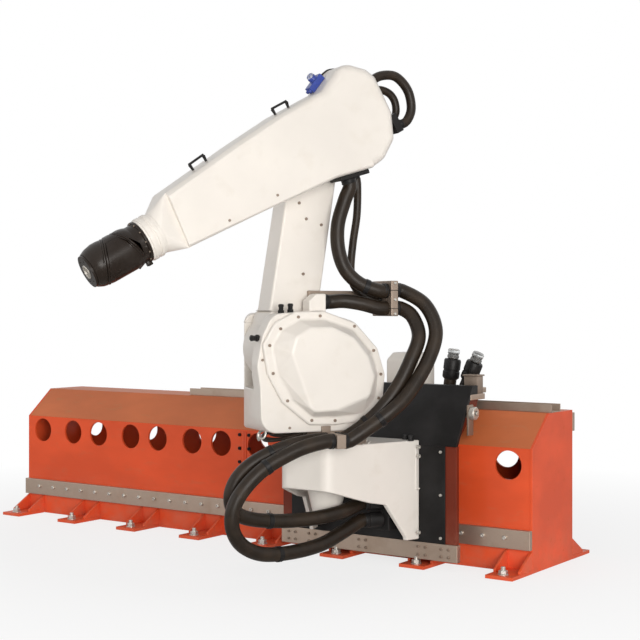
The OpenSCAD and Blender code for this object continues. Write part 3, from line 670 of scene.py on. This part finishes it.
class RobotColours(bpy.types.PropertyGroup):
    """Colours of the robot's finishes."""

    casting: colour_setting("Casting", "Paint of the arm, housings and console", (0.84, 0.795, 0.74))
    beam: colour_setting("Beam", "Paint of the rail beam and its feet", (0.86, 0.105, 0.03))
    steel: colour_setting("Steel", "Guide bars and machined plates", (0.46, 0.365, 0.295))
    fastener: colour_setting("Fastener", "Screws, nuts and couplings", (0.6, 0.58, 0.54))
    panel: colour_setting("Panel", "Black sheet panels", (0.012, 0.011, 0.011))
    wrist: colour_setting("Wrist", "Coat of the wrist's bodies", (0.019, 0.012, 0.008))
    hose: colour_setting("Hose", "Sleeve of the hoses", (0.022, 0.0145, 0.009))
    valve: colour_setting("Valve", "Plastic body of the valve", (0.03, 0.06, 0.32))


class RobotSizes(bpy.types.PropertyGroup):
    """Sizes that only show in the looks."""

    casting_edge: number_setting("Casting edge", "Rounding of the swivel housing", 0.007, min=0.004,
                                 max=0.01, subtype="DISTANCE")
    plate_edge: number_setting("Plate edge", "Rounding of plates and bars", 0.002, min=0.0005, max=0.005,
                               subtype="DISTANCE")
    screw: number_setting("Screw head", "Head diameter of the cover screws, in millimetres", 15.0, min=8.0,
                          max=24.0)


class StageSettings(bpy.types.PropertyGroup):
    """Camera and light."""

    focal: number_setting("Focal length", "Lens of the camera", 75.4, subtype="DISTANCE_CAMERA")
    yaw: number_setting("Yaw", "Turn of the camera about the upright", math.radians(36), subtype="ANGLE")
    spot: bpy.props.FloatVectorProperty(name="Spot", description="Place of the camera", size=3,
                                        default=(3.8285, -6.5289, 1.358), subtype="TRANSLATION")
    key: number_setting("Key light", "Power of the large lamp on the near side", 680.0, unit="POWER")
    fill: number_setting("Fill light", "Power of the soft lamp on the far side", 80.0, unit="POWER")
    sky: number_setting("Sky", "Strength of the light from all around", 0.36)


class RobotOperator:
    """What the robot's operators share."""

    bl_options = {"REGISTER", "UNDO"}

    @property
    def colours(self):
        return bpy.context.scene.robot_colours

    @property
    def sizes(self):
        return bpy.context.scene.robot_sizes


class ROBOT_OT_stage(RobotOperator, bpy.types.Operator):
    """Adds the camera, the pale floor and the soft light"""

    bl_idname = "robot.stage"
    bl_label = "Stage"

    def execute(self, context):
        stage = context.scene.robot_stage
        context.scene.view_settings.view_transform = "Standard"
        camera = bpy.data.cameras.new("view")
        camera.lens = stage.focal
        camera.sensor_width = SENSOR_WIDTH
        camera.shift_x, camera.shift_y = LENS_SHIFT
        holder = added("view", camera)
        holder.location = stage.spot
        holder.rotation_euler = (math.pi / 2, 0, stage.yaw)
        context.scene.camera = holder
        self.floor()
        self.sky(context.scene, stage.sky)
        self.lamp("key", stage.key, 5.0, (7.3, -7.5, 2.1))
        self.lamp("fill", stage.fill, 4.0, (-4.0, -7.5, 3.0))
        return {"FINISHED"}

    def floor(self):
        """A plane that takes shadows near the robot and fades to white away from it."""
        clear_selection()
        bpy.ops.mesh.primitive_plane_add(size=60, location=(0, 0, -0.001))
        floor = bpy.context.object
        floor.name = "floor"
        finish = Finish("pale_floor")
        finish.surface(base_color=[0.86, 0.86, 0.855, 1.0], roughness=0.7)
        seen = finish.node("ShaderNodeLightPath", "Is Camera Ray")
        glow = finish.node("ShaderNodeEmission", "Emission", None, {"Color": [1, 1, 1, 1], "Strength": 1.0})
        spot = finish.node("ShaderNodeTexCoord", "Object")
        away = finish.node("ShaderNodeVectorMath", "Value", {"operation": "DISTANCE"},
                           {0: spot, 1: (-0.8, 0, 0)})
        near_share, far_share = 0.78, 1.0
        share = near_share + finish.between(away, 1.6, 4.2) * (far_share - near_share)
        blend = finish.node("ShaderNodeMixShader", "Shader", None,
                            {0: seen * share, 1: Socket(finish, finish.shader.outputs["BSDF"]), 2: glow})
        finish.feed(finish.tree.nodes["Material Output"].inputs["Surface"], blend)
        floor.data.materials.append(finish.material)

    def sky(self, scene, light):
        """A white world, fainter as a light than to the camera and to clear or glossy faces."""
        world = bpy.data.worlds.new("studio")
        world.use_nodes = True
        scene.world = world
        tree = world.node_tree
        rays = tree.nodes.new("ShaderNodeLightPath")
        seen = rays.outputs["Is Camera Ray"]
        for other in ("Is Glossy Ray", "Is Transmission Ray"):
            most = tree.nodes.new("ShaderNodeMath")
            most.operation = "MAXIMUM"
            tree.links.new(seen, most.inputs[0])
            tree.links.new(rays.outputs[other], most.inputs[1])
            seen = most.outputs[0]
        strength = tree.nodes.new("ShaderNodeMapRange")
        strength.inputs["To Min"].default_value = light
        strength.inputs["To Max"].default_value = 1.0
        tree.links.new(seen, strength.inputs["Value"])
        back = tree.nodes["Background"]
        back.inputs["Color"].default_value = (1, 1, 1, 1)
        tree.links.new(strength.outputs[0], back.inputs["Strength"])

    def lamp(self, name, power, size, spot):
        lamp = bpy.data.lights.new(name, "AREA")
        lamp.energy = power
        lamp.size = size
        lamp.color = LAMP_COLOUR
        holder = added(name, lamp)
        holder.location = spot
        holder.rotation_euler = (LAMP_AIM - Vector(spot)).to_track_quat("-Z", "Y").to_euler()


class ROBOT_OT_hoses(RobotOperator, bpy.types.Operator):
    """Adds the hoses with their end sleeves and straps"""

    bl_idname = "robot.hoses"
    bl_label = "Hoses"

    def execute(self, context):
        make_finishes(self.colours)
        for name, (home, size, bodies, route) in HOSES.items():
            self.hose(name, home, size, bodies, route)
        return {"FINISHED"}

    def hose(self, name, home, size, bodies, route):
        spots = [home @ point(*spot) for spot in route]
        path = smooth_path(spots, HOSE_STEP)
        diameter = size * MM
        hose = complete(tube(path, diameter, 6), name + "_sleeve", "hose_rubber")
        self.carry(hose, bodies, path)
        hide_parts(name)
        length = path_length(path)
        length > SHORTEST_CORD * diameter
        if name not in BARE_STARTS:
            self.sleeve(name + "_start", spots[0], spots[1], size, bodies[0])
        self.sleeve(name + "_end", spots[-1], spots[-2], size, bodies[-1])
        for number, share in enumerate(HOSE_TIES.get(name, ())):
            self.tie(name + "_tie_%d" % (number + 1), path, size, share, bodies)

    def carry(self, piece, bodies, path):
        """Ties a piece to the one body of its hose; for a hose between two bodies, puts the piece's place
        into its mesh and leaves it free of both.
        """
        if len(bodies) == 2:
            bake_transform(piece)
        else:
            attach(piece, bodies[0])

    def tie(self, name, path, size, share, bodies):
        """A strap round a hose, with its buckle."""
        radius = size / 2
        strap = turned([(radius + 0.5, -13), (radius + 3, -11), (radius + 3, 11), (radius + 0.5, 13)], 24)
        strap = joined([strap, block((radius + 1, -9, -10), (radius + 9, 9, 10), 1.5)])
        strap.matrix_world = band_place(path, share, BUCKLE_TURN)
        complete(smooth(strap), name, "black_metal")
        self.carry(strap, bodies, path)

    def sleeve(self, name, end, inward, size, body):
        """A crimped end sleeve with two beads, along the hose's straight run."""
        radius = size / 2
        bead = radius + 1.8
        length = size * 0.32
        ring = turned([(radius + 0.6, 0), (bead, 2), (bead, length * 0.3), (radius + 0.8, length * 0.36),
                       (radius + 0.8, length * 0.6), (bead, length * 0.66), (bead, length - 3),
                       (radius + 0.4, length)], 24)
        heading = (inward - end).to_track_quat("Z", "Y").to_matrix().to_4x4()
        ring.matrix_world = Matrix.Translation(end) @ heading
        settle(smooth(ring), name, "black_metal", body)


class ROBOT_OT_rail(RobotOperator, bpy.types.Operator):
    """Rounds the beam's plates and adds its screws, anchors and section joint"""

    bl_idname = "robot.rail"
    bl_label = "Rail"

    def execute(self, context):
        make_finishes(self.colours)
        edge = self.sizes.plate_edge
        for node in ("rail_front_plate", "rail_back_plate", "rail_base_plate", "rail_end_plates",
                     "rail_feet", "foot_gussets"):
            dress(node, "rail_paint", edge, 2)
        dress("rail_roof_plate", "roof_paint", edge, 2)
        for node in ("front_guide_bar", "rear_guide_bar"):
            dress(node, "steel", edge * 1.5, 2)
        dress("cable_tray", "steel", edge * 0.5, 1)
        self.guide_screws()
        self.anchors()
        self.section_joint()
        return {"FINISHED"}

    def guide_screws(self):
        pitch, first, end_gap, lift = 125, -132, 30, 6
        for side in ("front", "rear"):
            low, high = node_box(side + "_guide_bar")
            face = -low.y if side == "front" else -high.y
            height = (low.z + high.z) / 2 + lift
            start = math.ceil((low.x + end_gap - first) / pitch)
            end = math.floor((high.x - end_gap - first) / pitch)
            places = [place(RAIL, first + pitch * k, face, height, side) for k in range(start, end + 1)]
            add_screws(22, places, side + "_guide_screws", "zinc", "rail")

    def anchors(self):
        low, high = node_box("rail_feet")
        plate_top, hole_inset, half_foot, pitch = 18, 52, 75, 500
        bays = round((high.x - low.x) / pitch)
        rows = (-low.y - hole_inset, -high.y + hole_inset)
        places = [place(RAIL, low.x + half_foot + k * pitch, row, plate_top)
                  for k in range(bays + 1) for row in rows]
        copies(anchor_nut(30), places, "floor_anchors", "zinc", "rail")

    def section_joint(self):
        """Two flanges side by side on the front plate, with a row of screws beside each."""
        low, high = node_box("rail_front_plate")
        face = -low.y
        middle = -955
        bottom, top = 240, high.z - 12
        strips = [block((middle + side * 2, face - 2, bottom), (middle + side * 14, face + 5, top), 1.5)
                  for side in (-1, 1)]
        settle(joined(strips), "section_flanges", "rail_paint", "rail")
        places = [place(RAIL, middle + side * 34, face, height, "front")
                  for side in (-1, 1) for height in range(285, 606, 80)]
        add_screws(20, places, "section_screws", "black_metal", "rail")


class ROBOT_OT_trolley(RobotOperator, bpy.types.Operator):
    """Rounds the trolley's sheets and adds its screws, eye roller and couplings"""

    bl_idname = "robot.trolley"
    bl_label = "Trolley"

    def execute(self, context):
        make_finishes(self.colours)
        edge = self.sizes.plate_edge
        # The frame gets the darkened beam red, which is painted shade
        frame_shell = dress("trolley_frame", "frame_red_painted_shade", edge * 1.5, 2)
        frame_shell.data.materials.append(finishes["steel"])
        bridge_depth = 0.035
        bridge_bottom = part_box("travel_drive")[0].z - bridge_depth
        for face in frame_shell.data.polygons:
            face.material_index = int(face.center.z > bridge_bottom)
        dress("trolley_panel", "black_metal", edge, 2)
        dress("trolley_cover", "black_metal", edge, 2)
        dress("trolley_bar", "steel", edge * 1.5, 2)
        dress("guide_rollers", "steel", edge, 2, clamp=False)
        dress("travel_drive", "robot_white", edge * 5, 3)
        dress("hose_block", "black_metal", edge * 2, 2, clamp=False)
        self.couplings()
        self.screws()
        self.eye_roller()
        return {"FINISHED"}

    def couplings(self):
        """Heads and caps on the supply couplings, and the bracket beside them."""
        dress("supply_couplings", "hose_rubber", self.sizes.plate_edge * 1.5, 2, clamp=False)
        low, high = node_box("supply_couplings")
        middle = -(low.y + high.y) / 2
        seat = node_box("travel_drive")[0].z
        necks = [place(RAIL, across, middle, seat) @ Matrix.Rotation(math.radians(tilt), 4, "Y")
                 for across, tilt in ((296, 8), (384, 24))]
        head = turned([(35, 66), (44, 74), (46, 80), (46, 108), (43, 111), (43, 119), (46, 122), (46, 168),
                       (42, 176), (27, 178)], 28)
        copies(head, necks, "coupling_heads", "black_metal", "trolley")
        cap = turned([(26, 180), (32, 184), (32, 196), (29, 199), (29, 205), (32, 208), (32, 226),
                      (27, 232), (10, 233)], 28)
        copies(cap, necks, "coupling_caps", "clear_plastic", "trolley")
        lid_z = seat + 92
        base = block((458, 118, seat - 1), (538, 184, lid_z), 4)
        lid = block((452, 112, lid_z), (544, 190, lid_z + 8), 2)
        settle(joined([base, lid]), "coupling_bracket", "bracket_steel", "trolley")

    def screws(self):
        low, high = node_box("trolley_panel")
        side = high.x - 25
        corners = [place(RAIL, x, -low.y, z, "front") for x in (-side, side)
                   for z in (low.z + 30, (low.z + high.z) / 2, high.z - 30)]
        add_screws(16, corners, "panel_screws", "zinc", "trolley")
        bar_low, bar_high = node_box("trolley_bar")
        middle = (bar_low.z + bar_high.z) / 2
        clusters = [place(RAIL, x + dx, -bar_low.y, middle + dz, "front")
                    for x in (-480, -345, -20, 345, 480) for dx in (-22, 22) for dz in (-20, 20)]
        add_screws(15, clusters, "bar_screws", "bracket_steel", "trolley")

    def eye_roller(self):
        side = node_box("trolley_frame")[1].x
        arm = block((side - 70, 276, 784), (side + 3, 318, 826), 3)
        plate = block((side + 3, 268, 690), (side + 15, 326, 850), 4)
        settle(joined([arm, plate]), "eye_bracket", "bracket_steel", "trolley")
        roller = turned([(30, 0), (34, 3), (34, 26), (30, 30), (16, 30), (14, 22), (9, 22), (9, 36),
                         (7, 38)], 28)
        roller.matrix_world = place(RAIL, side + 15, 297, 806, "near")
        settle(smooth(roller), "eye_roller", "zinc", "trolley")


class ROBOT_OT_console(RobotOperator, bpy.types.Operator):
    """Rounds the console and adds its screws, its cable glands and the gear cup's ribs"""

    bl_idname = "robot.console"
    bl_label = "Console"

    def execute(self, context):
        make_finishes(self.colours)
        dress("console", "robot_white", 0.006, 3, clamp=False)
        dress("gear_cup", "robot_white", 0.004, 2)
        dress("slew_ring", "steel", 0.003, 2)
        self.cup_ribs()
        self.screws()
        return {"FINISHED"}

    def cup_ribs(self):
        low, high = node_box("gear_cup")
        foot = low.z + 4
        count = 10
        ribs = []
        for k in range(count):
            rib = slab([(70, foot), (118, low.z + 196), (134, low.z + 205), (134, high.z), (100, high.z),
                        (60, foot)], 4)
            rib.matrix_world = Matrix.Rotation(k * math.tau / count, 4, "Z")
            ribs.append(rib)
        settle(joined(ribs), "cup_ribs", "robot_white", "trolley",
               Matrix.Translation((SLEW.x, SLEW.y, 0)))

    def screws(self):
        ring_low, ring_high = node_box("slew_ring")
        radius = (ring_high.x - ring_low.x) / 2 + 16
        deck = ring_low.z
        ring = around(place(RAIL, 0, -SLEW.y / MM, deck), radius, 0, 20)
        add_screws(10, ring, "deck_screws", "zinc", "trolley")
        outward = Vector((0.94, -0.34, 0)).to_track_quat("Z", "Y").to_matrix().to_4x4()
        wall = [Matrix.Translation(point(344, 469, z)) @ outward for z in (190, 585, 632)]
        add_screws(20, wall, "console_screws", "zinc", "trolley")
        gland = turned([(15, 0), (15, 8), (12, 9), (12, 16), (14, 17), (14, 24), (8, 27)], 6)
        glands = [place(RAIL, x, y, deck) for x, y in ((300, 470), (258, 456), (318, 500))]
        copies(gland, glands, "deck_glands", "black_metal", "trolley")


class ROBOT_OT_swivel(RobotOperator, bpy.types.Operator):
    """Rounds the swivel housing and its covers and adds their screws, nozzles, cables and hooks"""

    bl_idname = "robot.swivel"
    bl_label = "Swivel"

    def execute(self, context):
        make_finishes(self.colours)
        dress("turntable", "bracket_steel", 0.004, 2)
        dress("swivel_housing", "robot_white", self.sizes.casting_edge, 4, clamp=False)
        dress("near_side_cover", "robot_white", 0.018, 5, angle=14)
        dress("far_side_cover", "robot_white", 0.007, 3, clamp=False)
        dress("lower_clamp", "bracket_steel", 0.003, 2)
        self.cover_screws()
        self.fittings()
        self.cables()
        self.hooks()
        return {"FINISHED"}

    def cover_screws(self):
        near_face, far_face = 222, -211
        near_spots = ((417, 1171), (359, 1252), (264, 1309), (145, 1314), (-45, 1262), (-153, 1140),
                      (-194, 1020), (-182, 900), (-97, 806), (63, 795), (191, 800), (322, 900), (399, 1035))
        near = [place(SWIVEL, near_face, u, z, "near") for u, z in near_spots]
        add_screws(self.sizes.screw, near, "near_cover_screws", "bracket_steel", "swivel")
        far_spots = ((-66, 850), (75, 850), (216, 850), (216, 1000), (216, 1135), (160, 1220), (0, 1220),
                     (-66, 1125), (-66, 990))
        far = [place(SWIVEL, far_face, u, z, "far") for u, z in far_spots]
        add_screws(self.sizes.screw, far, "far_cover_screws", "bracket_steel", "swivel")

    def fittings(self):
        """Nozzles and plugs on the housing."""
        nozzle = turned([(17, -1), (17, 14), (13, 16), (13, 30), (15, 31), (15, 42), (9, 45)], 6)
        spots = [place(SWIVEL, 155, 275, 1331, "top"), place(SWIVEL, 155, 447, 1206, "front"),
                 place(SWIVEL, 165, 330, 1328, "top")]
        copies(nozzle, spots, "housing_nozzles", "black_metal", "swivel")
        side = 200
        plugs = [place(SWIVEL, side, u, z, "near")
                 for u, z in ((446, 1100), (-196, 930), (300, 765), (-140, 765))]
        add_screws(13, plugs, "housing_plugs", "bracket_steel", "swivel")

    def cables(self):
        """Cables that hang below the housing, with both ends inside it."""
        inside, steps = 765, 12
        routes = []
        for radius, height, start, end in ((238, 716, 60, 128), (262, 712, 52, 130), (252, 731, 66, 122)):
            arc = [math.radians(start + (end - start) * k / steps) for k in range(steps + 1)]
            bend = [(radius * math.cos(turn), radius * math.sin(turn), height) for turn in arc]
            routes.append((15, bend))
        routes += BASE_CABLES
        cables = [bent_rod([(*route[0][:2], inside), *route, (*route[-1][:2], inside)], size, 12)
                  for size, route in routes]
        settle(joined(cables), "base_cables", "hose_rubber", "swivel", SWIVEL)

    def hooks(self):
        bends = [bent_rod(route, size, 5) for size, route in BASE_HOOKS]
        settle(joined(bends), "base_hooks", "zinc", "swivel", SWIVEL)


class ROBOT_OT_lower_arm(RobotOperator, bpy.types.Operator):
    """Rounds the lower arm and its hose clamp and adds their screws and the clamp's joints"""

    bl_idname = "robot.lower_arm"
    bl_label = "Lower arm"

    def execute(self, context):
        make_finishes(self.colours)
        dress("lower_arm", "robot_white", 0.012, 3, clamp=False)
        dress("arm_clamp", "bracket_steel", 0.004, 2)
        arm_face, clamp_face = 80, 282
        near = [place(SWIVEL, arm_face, u, z, "near")
                for u, z in ((193, 1880), (154, 1801), (70, 1773), (171, 1524))]
        add_screws(self.sizes.screw, near, "arm_screws", "bracket_steel", "lower_arm")
        clamp = [place(SWIVEL, clamp_face, -243, z, "near") for z in (1324, 1396, 1478)]
        add_screws(14, clamp, "arm_clamp_screws", "zinc", "lower_arm")
        lines = [block((84, -266, z - 1.5), (clamp_face + 2, -220, z + 1.5), 0.6, 1) for z in (1350, 1442)]
        settle(joined(lines), "arm_clamp_joints", "black_metal", "lower_arm", SWIVEL)
        return {"FINISHED"}


class ROBOT_OT_upper_arm(RobotOperator, bpy.types.Operator):
    """Rounds the upper arm and all that it carries and adds screws and the valve's dome"""

    bl_idname = "robot.upper_arm"
    bl_label = "Upper arm"

    def execute(self, context):
        make_finishes(self.colours)
        dress("upper_arm", "robot_white", 0.008, 3)
        dress("elbow_boss", "steel", 0.002, 2)
        dress("elbow_plate", "black_metal", 0.004, 2)
        dress("elbow_strap", "black_metal", 0.004, 2)
        dress("wrist_collar", "robot_white", 0.003, 2)
        dress("lifting_handles", "black_metal", 0.001, 1, clamp=False)
        dress("air_valve", "blue_plastic", 0.003, 2, clamp=False)
        self.screws()
        self.valve_dome()
        return {"FINISHED"}

    def screws(self):
        near_face = 281
        belly = [place(UPPER, near_face, u, z, "near") for u, z in ((700, -96), (420, -105))]
        add_screws(13, belly, "belly_screws", "bracket_steel", "upper_arm")
        collar = around(WRIST["wrist_roll"], 98, -4.2, 12)
        add_screws(9, collar, "collar_screws", "bracket_steel", "upper_arm")

    def valve_dome(self):
        """A clear dome on the valve, square to the hump's slope."""
        slope = 0.44
        seat = place(UPPER, 138, -105, 230 + slope * 55) @ Matrix.Rotation(math.atan(slope), 4, "X")
        dome = turned([(20, 55), (20, 60), (18, 66), (12, 71), (4, 73)], 24)
        dome.matrix_world = seat @ Matrix.Translation((0, 0.008, 0))
        settle(smooth(dome, 60), "valve_dome", "clear_plastic", "upper_arm")


class ROBOT_OT_wrist(RobotOperator, bpy.types.Operator):
    """Rounds the wrist's bodies and adds the neck's screws and tab and the sleeve of the bore"""

    bl_idname = "robot.wrist"
    bl_label = "Wrist"

    def execute(self, context):
        make_finishes(self.colours)
        for node in ("wrist_neck", "wrist_middle", "wrist_head"):
            dress(node, "wrist_black", 0.003, 2, clamp=False)
        dress("tool_flange", "wrist_black", 0.0015, 2, clamp=False)
        neck = around(WRIST["wrist_bend"], 99, -77.5, 12)
        add_screws(8, neck, "neck_screws", "bracket_steel", "wrist_neck")
        tab = block((-15, 92, -88), (15, 118, -62), 3)
        settle(tab, "neck_tab", "wrist_black", "wrist_neck", WRIST["wrist_bend"])
        tool_face = 98
        sleeve = turned([(34.5, -10), (34.5, 2), (33, 4), (29, 4), (28, 2), (28, -9)], 40)
        sleeve.matrix_world = WRIST["tool_roll"] @ Matrix.Translation((0, 0, tool_face * MM))
        settle(smooth(sleeve), "bore_sleeve", "zinc", "wrist_head")
        return {"FINISHED"}


class ROBOT_PT_panel(bpy.types.Panel):
    """Lists the robot's settings and the buttons of its operators"""

    bl_idname = "ROBOT_PT_panel"
    bl_label = "Painting robot"
    bl_space_type = "VIEW_3D"
    bl_region_type = "UI"
    bl_category = "Robot"

    def draw(self, context):
        for group in (context.scene.robot_colours, context.scene.robot_sizes, context.scene.robot_stage):
            column = self.layout.column()
            for name in group.__annotations__:
                column.prop(group, name)
        for operator in OPERATORS:
            self.layout.operator(operator.bl_idname)


GROUPS = {"robot_colours": RobotColours, "robot_sizes": RobotSizes, "robot_stage": StageSettings}
OPERATORS = (ROBOT_OT_stage, ROBOT_OT_hoses, ROBOT_OT_rail, ROBOT_OT_trolley, ROBOT_OT_console,
             ROBOT_OT_swivel, ROBOT_OT_lower_arm, ROBOT_OT_upper_arm, ROBOT_OT_wrist)


def register():
    for name, group in GROUPS.items():
        bpy.utils.register_class(group)
        setattr(bpy.types.Scene, name, bpy.props.PointerProperty(type=group))
    for cls in (*OPERATORS, ROBOT_PT_panel):
        bpy.utils.register_class(cls)


def unregister():
    for cls in (ROBOT_PT_panel, *reversed(OPERATORS)):
        bpy.utils.unregister_class(cls)
    for name, group in reversed(GROUPS.items()):
        delattr(bpy.types.Scene, name)
        bpy.utils.unregister_class(group)


def main():
    register()
    bpy.ops.robot.stage()
    bpy.ops.robot.hoses()
    bpy.ops.robot.rail()
    bpy.ops.robot.trolley()
    bpy.ops.robot.console()
    bpy.ops.robot.swivel()
    bpy.ops.robot.lower_arm()
    bpy.ops.robot.upper_arm()
    bpy.ops.robot.wrist()
    clear_selection()


if __name__ == "__main__":
    main()
